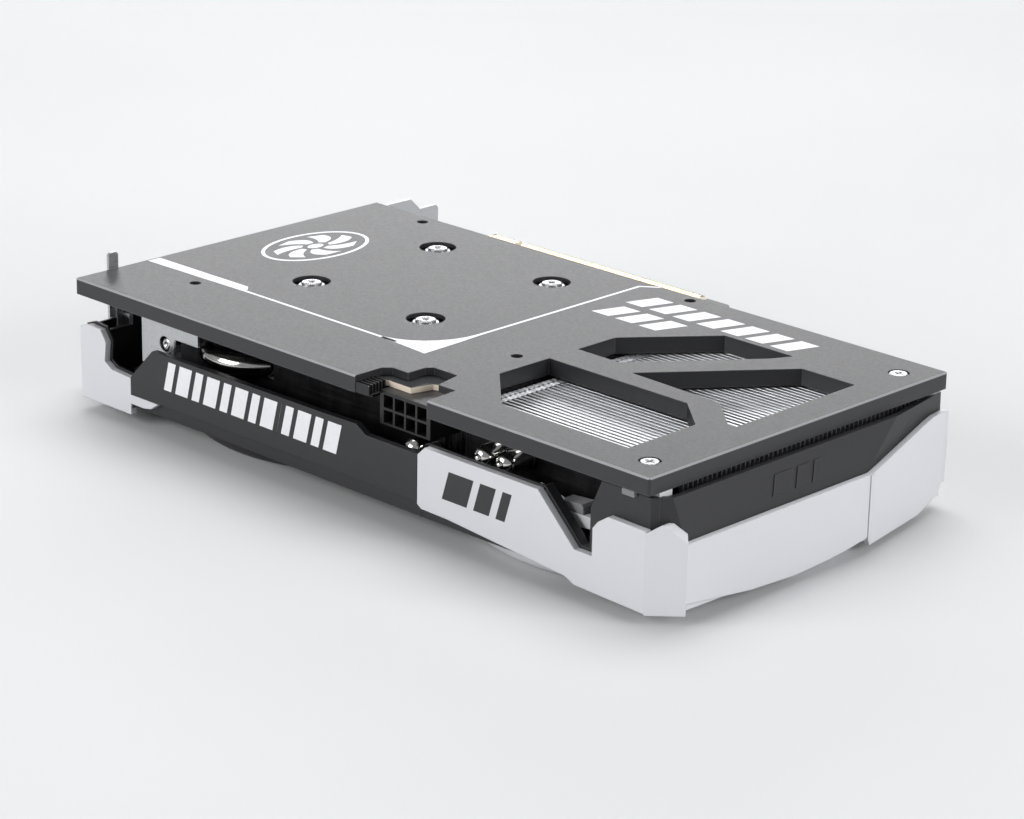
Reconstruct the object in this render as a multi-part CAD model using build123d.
from build123d import *
import math
import os

os.makedirs("parts", exist_ok=True)

# ---------------------------------------------------------------------------
# Two-fan, two-slot graphics card, lying on its fan side.
# Working frame (mm): x runs from the I/O bracket to the free end, y from the
# power-socket edge to the edge-connector side, z = 0 on the backplate's outer
# face, parts hang below it. Everything is moved to ORIGIN before export, so
# the exported origin is the bottom centre of the whole card.
# ---------------------------------------------------------------------------
LEN = 220.5            # backplate length (x)
WID = 118.1            # backplate width (y)
LIP = 4.7              # depth of the backplate's rim
SKIN = 1.2             # backplate sheet
END_X = 227.4          # outer face of the free-end trim
THICK = 39.0           # backplate face to the fan rings' faces
ORIGIN = (108.35, 72.5, -THICK)

PCB_TOP = -2.2
PCB_T = 1.57           # standard board thickness
PCB_BOT = PCB_TOP - PCB_T
FINGER_X0 = 44.2       # edge connector, standard x16 edge
FINGER_LEN = 84.3
KEY_C = 12.15          # key notch centre from the connector's first end
KEY_W = 1.9
FINGER_Y = 125.9       # connector's edge
PCB_Y0, PCB_Y1 = 3.4, 116.2
PCB_X0, PCB_X1 = 1.4, 139.4

GPU = (70.95, 72.8)    # processor centre
GPU_DX, GPU_DY = 46.7, 50.4     # spring screw pattern
GPU_SCREWS = [(GPU[0] + sx * GPU_DX / 2, GPU[1] + sy * GPU_DY / 2)
              for sx in (-1, 1) for sy in (-1, 1)]
SMALL_HOLES = [(26.8, 21.9), (25.4, 113.2), (134.1, 42.8), (132.9, 114.1)]
CORNER_SCREWS = [(212.1, 107.6), (212.1, 9.3)]

FANS = [(60.8, 59.0), (173.0, 59.0)]
RING_R = 52.6          # outside of a fan ring
BORE_R = 46.9          # fan aperture
TIP_R = 45.2           # blade tips
HUB_R = 17.5
SHAFT_R = 1.5
BLADES = 11

FIN_PITCH = 1.8
FIN_T = 0.4
FIN_Y0 = 4.6
FIN_N = 61
FIN_FIRST = 5          # the stacks start behind the pipe ends
FIN_BOT = -22.6

PIPE_R = 3.0           # 6 mm heat pipes
BRACKET_T = 0.9

V1 = [(141.1, 29.1), (141.1, 48.0), (190.1, 48.0), (202.4, 37.2), (202.4, 12.2), (158.4, 12.2)]
V2 = [(141.1, 59.1), (141.1, 74.0), (160.3, 97.5), (184.5, 97.5), (181.3, 91.3), (156.1, 59.1)]
V3 = [(164.2, 55.2), (192.6, 91.3), (210.5, 91.3), (210.5, 43.7), (207.5, 43.7), (195.8, 54.2)]
NOTCH = [(116.6, -1.0), (116.6, 9.6), (118.6, 11.8), (124.5, 11.8), (124.5, 18.1), (126.1, 19.9),
         (134.8, 19.9), (136.7, 11.0), (143.1, 11.0), (143.7, -1.0)]


# ---- small helpers --------------------------------------------------------
def prism(pts, vec):
    w = Wire.make_polygon([Vector(*p) for p in pts], close=True)
    return Solid.extrude(Face(w), Vector(*vec))


def xy(pts, z0, z1):
    return prism([(x, y, z0) for x, y in pts], (0, 0, z1 - z0))


def xz(pts, y0, y1):
    return prism([(x, y0, z) for x, z in pts], (0, y1 - y0, 0))


def yz(pts, x0, x1):
    return prism([(x0, y, z) for y, z in pts], (x1 - x0, 0, 0))


def block(x0, x1, y0, y1, z0, z1):
    return Pos((x0 + x1) / 2, (y0 + y1) / 2, (z0 + z1) / 2) * Box(abs(x1 - x0), abs(y1 - y0), abs(z1 - z0))


def cyl(x, y, z0, z1, r):
    return Pos(x, y, (z0 + z1) / 2) * Cylinder(r, abs(z1 - z0))


def cyl_y(x, z, y0, y1, r):
    return Pos(x, (y0 + y1) / 2, z) * Rot(90, 0, 0) * Cylinder(r, abs(y1 - y0))


def cyl_x(y, z, x0, x1, r):
    return Pos((x0 + x1) / 2, y, z) * Rot(0, 90, 0) * Cylinder(r, abs(x1 - x0))


def grow(pts, d):
    f = make_face(Polyline(*[(x, y) for x, y in pts], close=True))
    return offset(f, amount=d, kind=Kind.INTERSECTION)


def slab(face, z0, z1):
    return Pos(0, 0, min(z0, z1)) * extrude(face, amount=abs(z1 - z0))


def ring(x, y, z0, z1, ro, ri):
    return cyl(x, y, z0, z1, ro) - cyl(x, y, min(z0, z1) - 1, max(z0, z1) + 1, ri)


def tube(route, radii, r):
    """Round rod along straight runs joined by tangent arcs."""
    path = FilletPolyline(*[Vector(*p) for p in route], radius=radii) if radii else Polyline(*[Vector(*p) for p in route])
    start = path @ 0
    plane = Plane(origin=start, z_dir=path % 0)
    s = sweep(plane * Circle(r), path=path)
    print("tube length %.1f radii %s" % (path.length, radii))
    return s


OUT = {}


def add(name, *shapes):
    OUT[name] = shapes


# ---- backplate --------------------------------------------------------------
shell = block(0, LEN, 0, WID, -LIP, 0)
top_edges = shell.edges().filter_by(Axis.Z, reverse=True).group_by(Axis.Z)[-1]
shell = chamfer(top_edges, 0.45)
vert = shell.edges().filter_by(Axis.Z)
shell = fillet(vert, 0.8)
shell -= block(SKIN, LEN - SKIN, SKIN, WID - SKIN, -LIP - 1, -SKIN)
for v in (V1, V2, V3):
    shell += slab(grow(v, 1.2), -LIP, -SKIN + 0.2)
shell += xy([(x, max(y, 0.0)) for x, y in [(115.4, 0), (115.4, 10.2), (118.1, 13.0), (123.3, 13.0), (123.3, 18.6),
             (125.6, 21.1), (135.8, 21.1), (137.7, 12.2), (144.3, 12.2), (144.9, 0)]], PCB_TOP + 0.15, -SKIN + 0.2)
shell += block(115.4, 116.6, 0, 3.0, -LIP, -SKIN + 0.2) + block(143.7, 144.9, 0, 12.0, -LIP, -SKIN + 0.2)
for v in (V1, V2, V3, NOTCH):
    shell -= xy(v, -LIP - 1, 1)
# the rim is open where the edge connector and its hook pass, and beside the bracket
shell -= block(40.0, 144.6, WID - 2 * SKIN, WID + 1, -LIP - 1, -SKIN)
shell -= block(-1, SKIN + 0.3, 13.0, 112.0, -LIP - 1, -SKIN - 1.4)
for x, y in GPU_SCREWS:
    shell -= cyl(x, y, -SKIN - 1, 1, 5.5)
for x, y in SMALL_HOLES:
    shell -= cyl(x, y, -SKIN - 1, 1, 1.7)
for x, y in CORNER_SCREWS:
    shell += cyl(x, y, -LIP, -SKIN + 0.2, 4.2)
    shell -= cyl(x, y, -LIP - 1, 1, 1.65)
    shell -= cyl(x, y, -0.9, 1, 2.9)
add("backplate", shell)

# corner screws of the backplate, cross recess
def pan_screw(x, y, ztop, head_r, head_h, r, length, recess=True):
    s = cyl(x, y, ztop - head_h, ztop, head_r)
    s = chamfer(s.edges().group_by(Axis.Z)[-1], min(0.3, head_h * 0.4))
    s += cyl(x, y, ztop - head_h - length, ztop - head_h + 0.05, r)
    if recess:
        d = head_h * 0.6
        s -= block(x - head_r * .55, x + head_r * .55, y - 0.28, y + 0.28, ztop - d, ztop + 1)
        s -= block(x - 0.28, x + 0.28, y - head_r * .55, y + head_r * .55, ztop - d, ztop + 1)
    return s

add("backplate_screws", *[pan_screw(x, y, -0.1, 2.6, 0.8, 1.25, 8.0) for x, y in CORNER_SCREWS])

# ---- circuit board --------------------------------------------------------
board = block(PCB_X0, PCB_X1, PCB_Y0, PCB_Y1, PCB_BOT, PCB_TOP)
board += block(FINGER_X0, FINGER_X0 + FINGER_LEN, PCB_Y1 - 1, FINGER_Y, PCB_BOT, PCB_TOP)
# retention hook beyond the connector
board += xy([(129.9 + 0.6, PCB_Y1 - 1), (129.9 + 0.6, 124.6), (138.2, 124.6), (140.6, 122.6), (140.6, 119.2),
             (137.6, 119.2), (137.6, PCB_Y1 - 1)], PCB_BOT, PCB_TOP)
board -= block(FINGER_X0 + KEY_C - KEY_W / 2, FINGER_X0 + KEY_C + KEY_W / 2, 117.6, FINGER_Y + 1, PCB_BOT - 1, PCB_TOP + 1)
# relief beside the power socket
board -= xy([(118.6, -1), (118.6, 7.4), (120.6, 8.3), (129.2, 8.3), (131.0, 14.6), (133.4, 15.6), (141, 15.6), (141, -1)],
            PCB_BOT - 1, PCB_TOP + 1)
for x, y in GPU_SCREWS:
    board -= cyl(x, y, PCB_BOT - 1, PCB_TOP + 1, 2.0)
for x, y in SMALL_HOLES:
    board -= cyl(x, y, PCB_BOT - 1, PCB_TOP + 1, 1.6)
add("circuit_board", board)

pads = []
for z0, z1 in ((PCB_TOP, PCB_TOP + 0.04), (PCB_BOT - 0.04, PCB_BOT)):
    pads.append(block(FINGER_X0 + 0.7, FINGER_X0 + KEY_C - KEY_W / 2 - 0.4, FINGER_Y - 4.6, FINGER_Y - 0.4, z0, z1))
    pads.append(block(FINGER_X0 + KEY_C + KEY_W / 2 + 0.4, FINGER_X0 + FINGER_LEN - 0.7, FINGER_Y - 4.6, FINGER_Y - 0.4, z0, z1))
add("edge_contacts", *pads)

# ---- parts on the board's lower face -------------------------------------
ZB = PCB_BOT
gx, gy = GPU
add("processor_substrate", block(gx - 17, gx + 17, gy - 17, gy + 17, ZB - 1.0, ZB))
add("processor_die", block(gx - 7.4, gx + 7.4, gy - 6.2, gy + 6.2, ZB - 1.8, ZB - 1.0))
add("thermal_paste", block(gx - 7.4, gx + 7.4, gy - 6.2, gy + 6.2, ZB - 1.9, ZB - 1.8))
MEM = [(gx - 10.0, gy + 33.6), (gx + 10.0, gy + 33.6), (gx + 29.5, gy + 12.6), (gx + 29.5, gy - 4.0)]
def chip(x, y, wx, wy, z, h):
    b = block(x - wx / 2, x + wx / 2, y - wy / 2, y + wy / 2, z - h, z)
    return chamfer(b.edges().group_by(Axis.Z)[0], 0.12)
add("memory_chips", *[chip(x, y, 12, 14, ZB, 1.1) for x, y in MEM])
add("thermal_pads", *[block(x - 5.5, x + 5.5, y - 6.5, y + 6.5, ZB - 2.6, ZB - 1.1) for x, y in MEM])
IND = [(112.5, 24.0 + 9.4 * i) for i in range(6)]
def inductor(x, y):
    b = block(x - 4, x + 4, y - 4, y + 4, ZB - 3.6, ZB)
    return fillet(b.edges().group_by(Axis.Z)[0], 0.6)
add("inductors", *[inductor(x, y) for x, y in IND])
add("power_stages", *[chip(x + 11.0, y, 5, 6, ZB, 0.9) for x, y in IND])
CAPS = [(132.8, y) for y in (25.0, 32.0, 53.6, 60.6, 67.6)]
def capacitor(x, y, h=2.2):
    c = cyl(x, y, ZB - h, ZB, 2.6)
    return fillet(c.edges().group_by(Axis.Z)[0], 0.4)
add("capacitors", *[capacitor(x, y) for x, y in CAPS])

# ---- power socket, eight ways, mouth on the power-socket edge ----------------
PWX0, PWX1 = 121.4, 140.3
PWY0, PWY1 = 4.6, 17.4
PWZ0, PWZ1 = -13.0, ZB
body = block(PWX0, PWX1, PWY0, PWY1, PWZ0, PWZ1)
body += block(PWX0 + 6.3, PWX1 - 6.3, PWY0, PWY0 + 7, PWZ0 - 0.0, PWZ0 + 0.8)
CELLS = []
for i in range(4):
    for j in range(2):
        cx = PWX0 + 3.15 + 4.2 * i
        cz = PWZ1 - 2.7 - 4.2 * j
        CELLS.append((cx, cz))
        body -= block(cx - 1.75, cx + 1.75, PWY0 - 1, PWY0 + 9.5, cz - 1.75, cz + 1.75)
for i in range(5):
    xr = PWX0 + 1.05 + 4.2 * i
    body += block(xr - 0.4, xr + 0.4, PWY0 + 1, PWY1 - 1, PWZ0 - 0.5, PWZ0 + 0.1)
pins = []
for cx, cz in CELLS:
    pins.append(block(cx - 0.57, cx + 0.57, PWY0 + 2.5, PWY1 - 0.4, cz - 0.57, cz + 0.57))
    body -= block(cx - 0.57, cx + 0.57, PWY0 + 8, PWY1 - 0.4, cz - 0.57, cz + 0.57)
add("power_socket", body)
add("power_pins", *pins)

# ---- display sockets at the bracket ------------------------------------
DP_Y = [30.6, 51.2, 71.8]
HDMI_Y = 91.6
EAR_Y = (17.6, 103.4)
PORT_Z = ZB - 3.3
def shell_port(yc, w, h):
    o = block(0.1, 17.5, yc - w / 2, yc + w / 2, PORT_Z - h / 2, PORT_Z + h / 2)
    o = o - block(-1, 15.5, yc - w / 2 + 0.45, yc + w / 2 - 0.45, PORT_Z - h / 2 + 0.45, PORT_Z + h / 2 - 0.45)
    return o
PORT_H = 6.0
add("displayport_shells", *[shell_port(y, 17.2, PORT_H) for y in DP_Y])
add("displayport_tongues", *[block(3.2, 15.4, y - 6.4, y + 6.4, PORT_Z - 0.1, PORT_Z + 0.9) for y in DP_Y])
add("hdmi_shell", shell_port(HDMI_Y, 15.4, PORT_H))
add("hdmi_tongue", block(3.2, 15.4, HDMI_Y - 5.6, HDMI_Y + 5.6, PORT_Z - 0.4, PORT_Z + 0.4))

# ---- I/O bracket ----------------------------------------------------------
BX0, BX1 = -1.0, -0.1
BZ0, BZ1 = -THICK, -0.3
plate = yz([(12.3, BZ0 + 0.0), (12.3, -0.6), (12.3, 4.0), (13.1, 4.7), (15.0, 4.7), (15.8, 3.9), (15.8, -0.5),
            (16.4, -2.0), (133.0, -2.0), (137.0, -5.8), (144.0, -5.8), (145.0, -6.9), (145.0, -14.6), (144.0, -15.8),
            (137.0, -15.8), (133.0, -18.8), (133.0, -22.4), (137.0, -26.2), (144.0, -26.2), (145.0, -27.2),
            (145.0, -35.2), (144.0, -36.2), (137.0, -36.2), (133.0, BZ0)], BX0, BX1)
for y, w in [(y, 17.8) for y in DP_Y] + [(HDMI_Y, 16.0)]:
    plate -= block(-2, 1, y - w / 2, y + w / 2, PORT_Z - 3.3, PORT_Z + 3.3)
# exhaust slots of the second slot
SLOTS = [22.0 + 8.5 * i for i in range(12)]
for y in SLOTS:
    plate -= block(-2, 1, y, y + 6.0, -33.5, -23.0)
for y in EAR_Y:
    plate -= cyl_x(y, -14.5, -2, 1, 1.7)
# screw tab, folded outwards at the end of the plate
tab = block(-10.9, BX1, 12.3, 13.2, BZ0 + 1.0, -18.6)
tab -= block(-12, -4.2 - 0.0, 12, 14, -24.6, -20.2)
plate += tab
add("io_bracket", plate)

# board-to-bracket ears: two short angle brackets
ears = []
for y in EAR_Y:
    e = block(-0.1, 0.9, y - 3.5, y + 3.5, -17.6, ZB - 0.02) + block(-0.1, 7.5, y - 3.5, y + 3.5, ZB - 1.0, ZB - 0.02)
    e -= cyl_x(y, -14.5, -1, 2, 1.35)
    ears.append(e)
add("bracket_ears", *ears)
def side_screw(y, z):
    s = Pos(-1.0 - 0.7, y, z) * Rot(0, 90, 0) * Cylinder(2.7, 1.4)
    s += Pos(1.5, y, z) * Rot(0, 90, 0) * Cylinder(1.3, 5.2)
    s -= block(-3, -1.5, y - 1.5, y + 1.5, z - 0.3, z + 0.3)
    s -= block(-3, -1.5, y - 0.3, y + 0.3, z - 1.5, z + 1.5)
    return s
add("bracket_screws", *[side_screw(y, -14.5) for y in EAR_Y])

# ---- cooler ----------------------------------------------------------------
CPX0, CPX1, CPY0, CPY1 = 48.0, 94.0, 51.0, 95.0
ZA, ZBP, ZC = -13.6, -16.9, -12.0
routes = {
    "a": ([(41.0, 104.0, ZA), (41.0, 8.5, ZA), (66.0, 8.5, ZA), (66.0, 59.5, ZA), (93.0, 59.5, ZA)], [12.0, 12.0, 14.0]),
    "b": ([(49.0, 67.5, -13.0), (97.0, 67.5, -13.0), (114.0, 67.5, ZBP), (134.0, 67.5, ZBP), (134.0, 5.5, ZBP)], [30.0, 16.0, 13.0]),
    "c": ([(49.0, 75.5, ZC), (159.6, 75.5, ZC), (159.6, 5.6, ZC)], [15.0]),
    "d": ([(49.0, 83.0, ZC), (166.8, 83.0, ZC), (166.8, 6.1, ZC)], [15.0]),
}
pipes = []
for k, (route, radii) in routes.items():
    p = tube(route, radii, PIPE_R)
    ends = [route[0], route[-1]]
    for e in ends:
        p = p + Pos(*e) * Sphere(PIPE_R)
    pipes.append(p)
add("heat_pipes", *pipes)

cold = block(CPX0, CPX1, CPY0, CPY1, -10.6, ZB - 1.9)
cold += block(CPX0 + 1, CPX1 - 1, 55.5, 87.5, -13.2, -10.5)
for k, (route, radii) in routes.items():
    cold -= tube(route, radii, PIPE_R + 0.02)
for e in ((49.0, 67.5, -13.0), (49.0, 75.5, ZC), (49.0, 83.0, ZC), (93.0, 59.5, ZA)):
    cold -= Pos(*e) * Sphere(PIPE_R + 0.02)
add("cold_plate", cold)

# mounting frame that presses the memory and the power stages
MZ0, MZ1 = -7.4, -6.4
frame = block(20.0, 138.6, 6.0, 112.0, MZ0, MZ1)
frame += block(20.0, 115.0, 6.0, 7.0, MZ0, -4.9)
frame -= block(CPX0 - 1, CPX1 + 1, CPY0 - 3.6, CPY1 + 4.0, MZ0 - 1, MZ1 + 1)
frame -= block(117.0, 140.0, 0, 19.0, MZ0 - 1, -3)
frame -= block(14.0, 27.0, 98.0, 113.0, MZ0 - 1, -3)
frame -= block(108.0, 128.0, 19.5, 76.5, MZ0 - 1, -3)
for x, y in GPU_SCREWS:
    frame += cyl(x, y, MZ0 - 1.2, ZB - 0.0, 3.0)
    frame -= cyl(x, y, MZ0 - 3, 0, 1.25)
for x, y in SMALL_HOLES[:3]:
    if y < 111:
        frame += cyl(x, y, MZ1 - 0.1, ZB, 2.6)
        frame -= cyl(x, y, MZ0 - 1, ZB + 1, 1.25)
add("mounting_frame", frame)

# spring screws that press the cooler on the processor
def spring_screw(x, y):
    s = cyl(x, y, -1.5, -0.35, 2.9)
    s = chamfer(s.edges().group_by(Axis.Z)[-1], 0.35)
    s += cyl(x, y, -1.45, PCB_TOP + 0.05, 1.6) + cyl(x, y, MZ0 - 1.0, -1.45, 1.2)
    s -= block(x - 1.6, x + 1.6, y - 0.3, y + 0.3, -0.95, 1)
    s -= block(x - 0.3, x + 0.3, y - 1.6, y + 1.6, -0.95, 1)
    return s
add("processor_screws", *[spring_screw(x, y) for x, y in GPU_SCREWS])
def washer(x, y):
    return ring(x, y, PCB_TOP + 0.01, PCB_TOP + 0.41, 4.6, 1.9)
add("spring_washers", *[washer(x, y) for x, y in GPU_SCREWS])

def fins(x0, x1, z0, z1, n0, n1):
    out = None
    plates = [block(x0, x1, FIN_Y0 + i * FIN_PITCH, FIN_Y0 + i * FIN_PITCH + FIN_T, z0, z1) for i in range(n0, n1)]
    ya, yb = FIN_Y0 + n0 * FIN_PITCH, FIN_Y0 + (n1 - 1) * FIN_PITCH + FIN_T
    rails = [block(x0 + a, x0 + a + 1.6, ya, yb, z1 - 0.3, z1) for a in (0.6,)] + \
            [block(x1 - 2.2, x1 - 0.6, ya, yb, z1 - 0.3, z1),
             block(x0 + 0.6, x0 + 2.2, ya, yb, z0, z0 + 0.3), block(x1 - 2.2, x1 - 0.6, ya, yb, z0, z0 + 0.3)]
    return plates[0].fuse(*plates[1:], *rails)

left = fins(30.0, 138.8, FIN_BOT, -7.7, FIN_FIRST, 60)
left -= block(CPX0 - 1.2, CPX1 + 1.2, CPY0 - 4.0, CPY1 + 4.4, -11.0, 0)
left -= block(44.5, 98.0, 54.6, 88.2, -17.2, 0)
left -= block(37.6, 69.4, 0, 21.0, -16.7, -10.5)
left -= block(97.0, 140.0, 72.4, 78.6, -15.1, -8.9)
left -= block(97.0, 140.0, 79.9, 86.1, -15.1, -8.9)
left -= block(97.0, 121.5, 64.4, 70.6, -20.0, -9.9)
left -= block(118.0, 137.2, 51.0, 70.6, -20.0, -13.8)
left -= block(62.9, 98.0, 44.0, 62.6, -16.7, -10.5)
left -= block(117.0, 140.0, 0, 19.2, -14.0, 0)
for x, z in ((41.0, ZA), (66.0, ZA), (134.0, ZBP)):
    left -= cyl_y(x, z, 0, 55 if x > 60 else 110, PIPE_R + 0.02)
left -= Pos(41.0, 104.0, ZA) * Sphere(PIPE_R + 0.05)
for x, y in GPU_SCREWS:
    left -= cyl(x, y, -12.0, 0, 3.6)
add("fin_stack_inner", left)

right = fins(144.4, 217.8, FIN_BOT, -5.4, FIN_FIRST, FIN_N)
right -= block(140.0, 156.0, 0, 17.5, -8.9, 0)
right -= block(140.0, 170.0, 57.0, 86.2, -15.1, -8.9)
for x, z in ((159.6, ZC), (166.8, ZC)):
    right -= cyl_y(x, z, 0, 66, PIPE_R + 0.02)
for x, y in CORNER_SCREWS:
    right -= cyl(x, y, -30, 0, 4.6)
add("fin_stack_outer", right)

# ---- shroud ---------------------------------------------------------------
FACE1, FACE0 = -31.6, -33.4
outline = [(3.8, 2.0), (219.6, 2.0), (225.6, 8.0), (225.6, 79.5), (219.0, 118.1), (3.8, 118.1)]
sh = xy(outline, FACE0, FACE1)
# power-socket side band
sh += xz([(24.0, -23.9), (33.6, -13.9), (102.4, -13.6), (117.1, -13.3), (120.7, -15.5), (140.2, -15.5), (140.2, -28.7),
          (35.4, -29.0), (24.0, -29.2)], 0.0, 2.0)
sh += xz([(24.0, -29.0), (140.2, -28.5), (140.2, -33.4), (24.0, -33.4)], 1.95, 3.6)
# free-end wall, leaning outwards towards the fan side, and its returns
endwall = prism([(221.2, 2.2, -6.0), (223.0, 2.2, -6.0), (225.5, 2.2, -17.2), (225.5, 2.2, FACE0), (223.8, 2.2, FACE0), (223.8, 2.2, -17.2)],
                (0, 111.2, 0))
sh += endwall
sh += xy([(216.8, 2.2), (219.0, 2.2), (225.4, 8.6), (225.4, 10.8)], FACE0, -6.0)
sh += xz([(199.5, -14.0), (203.0, -6.0), (223.0, -6.0), (225.5, -17.2), (225.5, FACE0), (199.5, FACE0)], 2.2, 3.8)
# edge-connector side wall with an open middle
sh += xz([(24.0, FACE0), (24.0, -24.0), (34.0, -15.0), (214.0, -15.0), (217.0, -8.5), (221.0, -8.5), (221.0, FACE0)], 116.1, 117.9)
sh += prism([(225.4, 79.0, FACE0), (218.8, 117.9, FACE0), (217.2, 117.9, FACE0), (223.8, 79.0, FACE0)], (0, 0, -6.0 - FACE0))
# outer limits: inside the white trims, and below the leaning end face
sh -= prism([(223.0, -5, -6.0), (225.5, -5, -17.2), (225.5, -5, -50), (240, -5, -50), (240, -5, 5), (223.0, -5, 5)], (0, 140, 0))
sh &= xy([(0, -1), (140.3, -1), (140.3, 2.06), (219.0, 2.06), (225.52, 8.58), (225.52, 78.9), (218.8, 118.0), (0, 118.1)], -50, 10)
# bracket-end inner channel
sh += yz([(2.1, FACE1 - 0.1), (2.1, -14.4), (12.6, -14.4), (13.4, -5.2), (21.4, -5.2), (21.4, -10.7), (99.9, -10.7), (99.9, -14.4), (117.9, -14.4),
          (117.9, FACE1 - 0.1)], 8.2, 9.8)
sh -= block(8.0, 10.0, 26.0, 97.0, -30.5, -13.0)
for x, y in FANS:
    sh -= cyl(x, y, -40, -20, BORE_R)
for x, y in CORNER_SCREWS:
    sh += cyl(x, y, FACE1 - 0.1, -LIP - 0.02, 3.6)
    sh -= cyl(x, y, -12.5, 0, 1.25)
SHROUD_SCREWS = [(20.0, 8.5), (20.0, 110.5), (117.0, 16.0), (117.0, 102.0)]
for x, y in SHROUD_SCREWS:
    sh += cyl(x, y, FACE1 - 0.1, -24.4, 3.0)
    sh -= cyl(x, y, -60, -20, 1.3)
add("shroud_body", sh)

# bracket-end trim: U-shaped corner shell
tl = xz([(1.8, -13.9), (5.6, -12.7), (10.8, -13.1), (13.1, -16.4), (12.5, -22.1), (15.5, -23.8), (23.9, -24.3), (23.9, -29.2),
         (35.8, -29.2), (32.7, -31.3), (29.7, -31.9), (4.8, -31.9), (2.9, -30.4)], 0.0, 1.9)
tl += yz([(0.0, -13.9), (11.4, -13.9), (11.4, -29.5), (9.0, -31.9), (0.0, -31.9)], 1.8, 3.6)
tl += yz([(106.6, -31.9), (106.6, -29.5), (106.6, -13.9), (118.0, -13.9), (118.0, -31.9)], 1.8, 3.6)
tl += xz([(1.8, -13.9), (10.8, -13.9), (13.1, -17.0), (13.1, -24.3), (23.9, -24.3), (23.9, -31.9), (4.8, -31.9), (1.8, -30.0)], 118.15, 119.9) \
    + block(1.8, 3.6, 116.0, 119.9, -30.0, -13.9)
tl += xy([(1.8, 0.0), (23.9, 0.0), (23.9, 1.9), (12.0, 1.9), (12.0, 12.5), (9.0, 16.0), (9.0, 102.0), (12.0, 106.0), (12.0, 118.2),
          (23.9, 118.2), (23.9, 119.9), (1.8, 119.9), (1.8, 107.0), (5.0, 102.0), (5.0, 16.0), (1.8, 11.4)], -35.2, -33.45)
tl += block(1.8, 3.6, 0.0, 11.4, -35.2, -29.0) + block(1.8, 3.6, 106.6, 119.9, -35.2, -29.0)
tl += block(3.0, 23.9, 0.0, 0.6, -35.2, -31.0)
tl -= cyl(FANS[0][0], FANS[0][1], -50, -20, RING_R + 0.25)
add("bracket_end_trim", tl)

# free-end trim: side plate, bevelled corner, end wall and far corner
END_W = [(7.1, -17.1), (79.0, -17.1), (79.0, -34.4), (70.0, -35.7), (61.7, -36.4), (49.0, -36.9), (32.3, -36.0), (19.6, -34.4), (7.1, -32.8)]
tr = xz([(140.4, -29.2), (140.4, -15.5), (142.9, -13.1), (183.4, -13.1), (196.3, -25.5), (202.3, -25.5), (202.3, -18.0),
         (204.0, -15.9), (207.3, -13.7), (219.3, -13.9), (220.0, -14.3), (220.0, -35.6), (196.5, -34.9), (193.5, -33.5),
         (151.9, -30.4), (141.9, -30.2)], 0.0, 2.0)
# bevel between the side plate and the end wall
bev = prism([(220.0, 0.0, -40), (227.4, 7.1, -40), (225.8, 8.6, -40), (219.2, 2.0, -40)], (0, 0, 34))
cutter = prism([(219.0, -2, -14.3 - 0.3), (220.0, -2, -14.3), (222.6, -2, -12.2), (223.4, -2, -12.3), (228.6, -2, -18.2), (229, -2, -5.0), (219.0, -2, -5)], (0, 14, 0))
bev -= cutter
bev -= block(215, 230, -5, 12, -45, -36.0)
tr += bev
tr += yz(END_W, 225.7, 227.3)
rib = block(226.3, 227.6, 78.2, 79.6, -35.6, -17.3)
farw = prism([(227.4, 79.0, -40), (220.5, 118.1, -40), (218.9, 118.1, -40), (225.6, 79.0, -40)], (0, 0, 34))
farw -= prism([(210, 60, -17.1), (210, 79.0, -17.1), (210, 108.8, -11.3), (210, 111.7, -10.9), (210, 122, -11.1), (210, 122, 0), (210, 60, 0)], (30, 0, 0))
farw -= prism([(210, 60, -36.9), (210, 105.8, -36.9), (210, 113.5, -35.2), (210, 116.9, -33.4), (210, 118.2, -31.1), (210, 122, -31.1), (210, 122, -50), (210, 60, -50)], (30, 0, 0))
tr += rib
tr += farw
tr += xz([(196.0, -33.4), (196.0, -26.0), (207.0, -14.0), (218.9, -11.2), (220.5, -11.2), (220.5, -31.1), (218.5, -33.4)], 118.0, 119.6)
tr += block(218.9, 220.5, 116.5, 119.6, -31.1, -11.2)
# fan-side face of this trim
face = xy([(196.5, 0.6), (219.8, 0.6), (226.0, 7.4), (227.0, 40), (226.9, 79.0), (220.0, 118.0), (196.0, 119.4), (184.0, 116.0), (214.0, 88.0), (219.5, 59.0), (214.0, 30.0)], -35.2, -33.45)
face -= cyl(FANS[1][0], FANS[1][1], -50, -20, RING_R + 0.25)
tr += face
add("free_end_trim", tr)
OUT["shroud_body"] = (OUT["shroud_body"][0] - tr,)

# fan rings, rounded outer lips that stand on the fan side
def fan_ring(x, y):
    # revolved section around the fan axis: rounded outer lip, straight bore
    r0, r1 = BORE_R + 0.1, RING_R
    with BuildSketch(Plane.XZ) as sk:
        with BuildLine():
            Polyline((r0, -30.2), (r0, -38.2))
            Line((r0, -38.2), (r0 + 0.8, -THICK))
            Line((r0 + 0.8, -THICK), (r1 - 3.2, -THICK))
            ThreePointArc((r1 - 3.2, -THICK), (r1 - 0.94, -THICK + 0.94), (r1, -THICK + 3.2))
            Line((r1, -THICK + 3.2), (r1, -33.45))
            Line((r1, -33.45), (r0 + 1.8, -33.45))
            Line((r0 + 1.8, -33.45), (r0 + 1.8, -30.2))
            Line((r0 + 1.8, -30.2), (r0, -30.2))
        make_face()
    s = revolve(sk.sketch, axis=Axis.Z, revolution_arc=360)
    return Pos(x, y, 0) * s

for i, (x, y) in enumerate(FANS):
    add("fan_ring_%d" % (i + 1), fan_ring(x, y))
OUT["shroud_body"] = (OUT["shroud_body"][0] - cyl(*FANS[0], -40, -29.0, BORE_R + 1.95) - cyl(*FANS[1], -40, -29.0, BORE_R + 1.95),)

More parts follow.
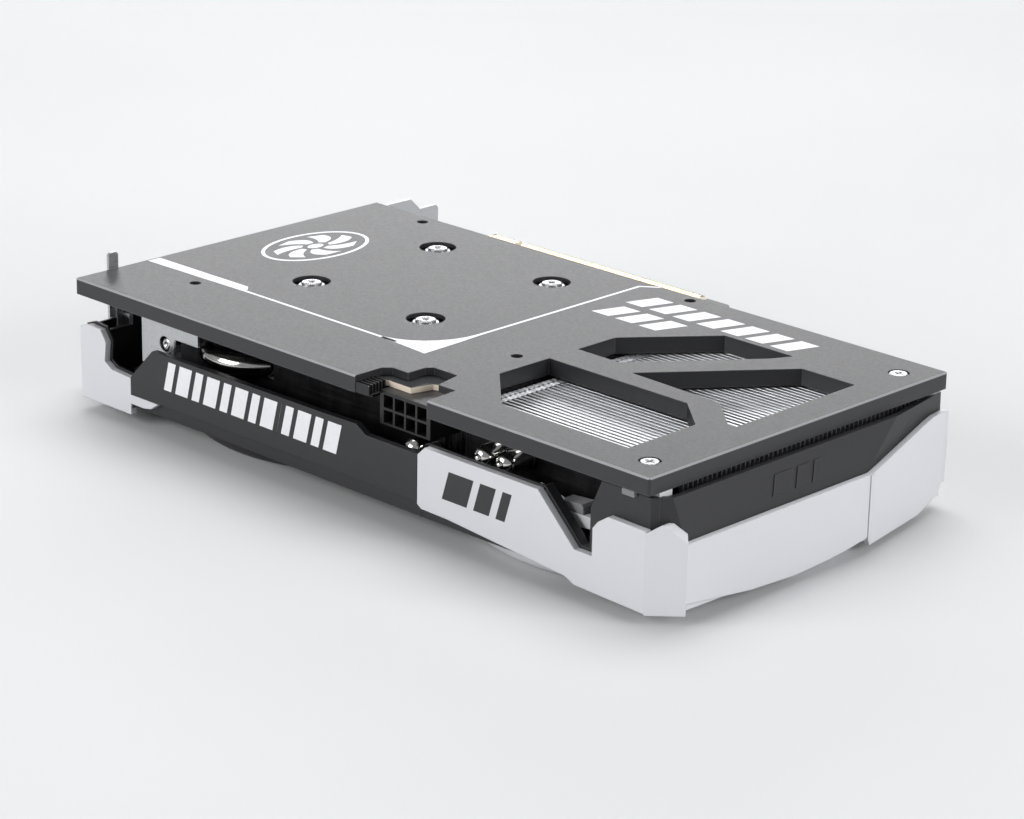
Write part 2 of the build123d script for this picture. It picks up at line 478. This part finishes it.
# ---- fans ------------------------------------------------------------------
BASE_Z1, BASE_Z0 = -23.4, -25.0
def fan_base(x, y):
    b = cyl(x, y, BASE_Z0, BASE_Z1, 19.0)
    for k in range(4):
        a = math.radians(45 + 90 * k)
        L = BORE_R + 3.6
        arm = Pos(x, y, (BASE_Z0 + BASE_Z1) / 2) * Rot(0, 0, 45 + 90 * k) * Pos(L / 2 + 6, 0, 0) * Box(L - 12, 5.0, BASE_Z1 - BASE_Z0)
        b += arm
        foot = cyl(x + (BORE_R + 3.6) * math.cos(a), y + (BORE_R + 3.6) * math.sin(a), -31.55, BASE_Z1, 3.2)
        foot -= cyl(x, y, -40, -25.05, BORE_R + 2.1)
        b += foot
        b -= cyl(x + (BORE_R + 3.6) * math.cos(a), y + (BORE_R + 3.6) * math.sin(a), -40, 0, 1.2)
    b += cyl(x, y, -33.0, BASE_Z0 + 0.1, 3.6)
    b -= cyl(x, y, -40, BASE_Z0 + 0.6, 2.6)
    return b

def bearing(x, y):
    return ring(x, y, -32.9, -25.0, 2.6, SHAFT_R + 0.03)

def stator(x, y):
    core = ring(x, y, -31.4, -27.0, 6.2, 3.6)
    parts = core
    for k in range(6):
        arm = Pos(x, y, -29.2) * Rot(0, 0, 60 * k) * Pos(8.2, 0, 0) * Box(5.4, 2.6, 3.4)
        shoe = Pos(x, y, -29.2) * Rot(0, 0, 60 * k) * Pos(11.2, 0, 0) * Box(1.4, 9.0, 3.4)
        parts = parts + arm + shoe
    return parts

def rotor(x, y):
    cup = cyl(x, y, -35.4, -26.2, HUB_R)
    cup = fillet(cup.edges().group_by(Axis.Z)[0], 1.6)
    cup -= cyl(x, y, -33.8, -20, HUB_R - 1.4)
    cup += cyl(x, y, -34.2, -33.3, 3.4)
    cup -= cyl(x, y, -34.9, -20, SHAFT_R)
    blades = None
    for k in range(BLADES):
        secs = []
        for r, tw, ch, lean in ((HUB_R - 0.7, 44.0, 11.0, 0.0), (26.0, 38.0, 14.5, 5.0), (36.0, 31.0, 17.5, 14.0), (TIP_R - 1.0, 26.0, 19.0, 25.0)):
            ca, sa = math.cos(math.radians(tw)), math.sin(math.radians(tw))
            t = 0.75
            pts = []
            for u, w in ((-ch / 2, -t / 2), (ch / 2, -t / 2), (ch / 2, t / 2), (-ch / 2, t / 2)):
                pts.append((u * ca - w * sa, (u * sa + w * ca) * 0.92))
            # local: tangential, axial on a plane at radius r, turned by lean
            la = math.radians(lean)
            P = []
            for tt, zz in pts:
                px, py = r, tt
                P.append(Vector(x + px * math.cos(la) - py * math.sin(la), y + px * math.sin(la) + py * math.cos(la), -30.9 + zz))
            secs.append(Wire.make_polygon(P, close=True))
        b = Solid.make_loft(secs, ruled=False)
        b = Pos(x, y, 0) * Rot(0, 0, 360 / BLADES * k) * Pos(-x, -y, 0) * b
        cup += b
    rim = ring(x, y, -33.6, -31.6, TIP_R, TIP_R - 1.3)
    cup += rim
    cup -= ring(x, y, -60, 0, 60, TIP_R)
    cup -= cyl(x, y, -33.8, -20, HUB_R - 1.4)
    return cup

def magnet(x, y):
    return ring(x, y, -32.8, -26.6, HUB_R - 1.4, HUB_R - 3.2)

def shaft(x, y):
    s = cyl(x, y, -34.9, -25.6, SHAFT_R)
    return chamfer(s.edges().group_by(Axis.Z)[-1], 0.3)

def cap(x, y):
    c = cyl(x, y, -35.9, -35.4, HUB_R - 3.0)
    return chamfer(c.edges().group_by(Axis.Z)[0], 0.3)

for i, (x, y) in enumerate(FANS):
    n = i + 1
    add("fan_base_%d" % n, fan_base(x, y))
    add("fan_bearing_%d" % n, bearing(x, y))
    add("fan_stator_%d" % n, stator(x, y))
    add("fan_rotor_%d" % n, rotor(x, y))
    add("fan_magnet_%d" % n, magnet(x, y))
    add("fan_shaft_%d" % n, shaft(x, y))
    add("fan_hub_cap_%d" % n, cap(x, y))

fs = []
for x, y in FANS:
    for k in range(4):
        a = math.radians(45 + 90 * k)
        px, py = x + (BORE_R + 3.6) * math.cos(a), y + (BORE_R + 3.6) * math.sin(a)
        s = cyl(px, py, -31.5, -24.6, 1.15)
        fs.append(s)
add("fan_screws", *fs)

ss = []
for x, y in SHROUD_SCREWS:
    s = cyl(x, y, -34.6, -33.45, 2.4) + cyl(x, y, -33.5, -25.2, 1.25)
    s -= block(x - 1.4, x + 1.4, y - 0.28, y + 0.28, -36, -34.0)
    s -= block(x - 0.28, x + 0.28, y - 1.4, y + 1.4, -36, -34.0)
    ss.append(s)
add("shroud_screws", *ss)

# the fans' header on the board
add("fan_header", block(16.6, 23.4, 104.0, 110.0, ZB - 5.2, ZB) - block(17.4, 22.6, 103.0, 108.4, ZB - 4.5, ZB - 0.9))

# ---- export -----------------------------------------------------------------
def solids_of(shape):
    return list(shape.solids())


lo = [1e9] * 3
hi = [-1e9] * 3
for name, shapes in OUT.items():
    sol = []
    for s in shapes:
        sol += solids_of(s)
    sol = [s.moved(Location((-ORIGIN[0], -ORIGIN[1], -ORIGIN[2]))) for s in sol]
    item = sol[0] if len(sol) == 1 else Compound(children=sol)
    item.label = name
    b = item.bounding_box()
    for i, (a, c) in enumerate(zip(b.min, b.max)):
        lo[i] = min(lo[i], a)
        hi[i] = max(hi[i], c)
    export_step(item, "parts/%s.step" % name)
print("nodes", len(OUT), "box", [round(v, 2) for v in lo], [round(v, 2) for v in hi])
